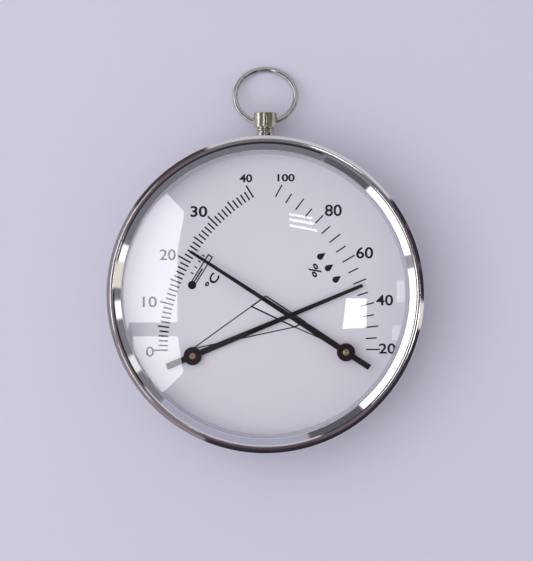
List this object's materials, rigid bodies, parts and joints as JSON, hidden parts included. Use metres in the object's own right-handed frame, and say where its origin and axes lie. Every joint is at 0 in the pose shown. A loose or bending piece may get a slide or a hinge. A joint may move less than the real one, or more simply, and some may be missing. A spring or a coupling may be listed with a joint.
{
  "type": "dial hygrometer",
  "caption": "Round chrome wall instrument with crossing temperature and humidity hands under a domed crystal, and a hanging ring on a turned neck.",
  "frame": {"origin": "centre of the case's flat back face, which it lies on", "axes": "+Z out of the dial, +Y towards the neck and the hanging ring at 12 o'clock, +X to 3 o'clock"},
  "size_m": [0.1, 0.1239, 0.0233],
  "materials": {
    "case_chrome": "bright chrome plate",
    "bezel_chrome": "bright chrome plate",
    "crystal_glass": "clear polished glass",
    "gasket_rubber": "matt black",
    "reveal_enamel": "satin pale grey",
    "dial_enamel": "satin white with black print",
    "sheet_steel": "bright rolled sheet",
    "neck_nickel": "turned and nickel plated",
    "ring_nickel": "drawn wire, nickel plated",
    "fastener_steel": "zinc plated",
    "turned_brass": "turned",
    "bimetal_strip": "rolled strip",
    "humidity_laminate": "thin strip with a film",
    "hand_black": "semi-gloss black"
  },
  "bodies": {
    "case": {"case_shell": "case_chrome", "bezel": "bezel_chrome", "crystal": "crystal_glass", "crystal_gasket": "gasket_rubber", "reveal_ring": "reveal_enamel", "dial_plate": "dial_enamel", "dial_support_ring": "sheet_steel", "neck": "neck_nickel", "neck_washer": "fastener_steel", "neck_nut": "fastener_steel", "movement_plate": "sheet_steel", "movement_pillars": "turned_brass", "movement_screws": "fastener_steel", "thermo_plate_bush": "turned_brass", "thermo_dial_bush": "turned_brass", "hygro_plate_bush": "turned_brass", "hygro_dial_bush": "turned_brass"},
    "ring": {"hanging_ring": "ring_nickel"},
    "thermo_lever": {"thermo_regulator": "sheet_steel", "thermo_anchor_post": "turned_brass", "bimetal_coil": "bimetal_strip"},
    "thermo_hand": {"thermo_arbor": "turned_brass", "thermo_collet": "turned_brass", "thermo_pointer": "hand_black", "thermo_pointer_boss": "hand_black"},
    "hygro_lever": {"hygro_regulator": "sheet_steel", "hygro_anchor_post": "turned_brass", "humidity_coil": "humidity_laminate"},
    "hygro_hand": {"hygro_arbor": "turned_brass", "hygro_collet": "turned_brass", "hygro_pointer": "hand_black", "hygro_pointer_boss": "hand_black"}
  },
  "joints": [
    {"name": "ring_swing", "type": "hinge", "parent": "case", "child": "ring", "pos_m": [0, 0.0554, 0.0084], "axis": [1, 0, 0], "range_deg": [-100, 128]},
    {"name": "thermo_calibration", "type": "hinge", "parent": "case", "child": "thermo_lever", "pos_m": [0.02551, -0.0183, 0.0134], "axis": [0, 0, 1], "range_deg": [-6, 6]},
    {"name": "thermo_reading", "type": "hinge", "parent": "thermo_lever", "child": "thermo_hand", "pos_m": [0.02551, -0.0183, 0.0134], "axis": [0, 0, 1], "range_deg": [-31.4, 37.9], "stiffness_Nm_per_rad": 0.00002, "deforming": ["bimetal_coil"]},
    {"name": "hygro_calibration", "type": "hinge", "parent": "case", "child": "hygro_lever", "pos_m": [-0.0231, -0.0196, 0.0134], "axis": [0, 0, 1], "range_deg": [0, 10]},
    {"name": "hygro_reading", "type": "hinge", "parent": "hygro_lever", "child": "hygro_hand", "pos_m": [-0.0231, -0.0196, 0.0134], "axis": [0, 0, 1], "range_deg": [-19, 44.8], "stiffness_Nm_per_rad": 0.00002, "deforming": ["humidity_coil"]}
  ]
}
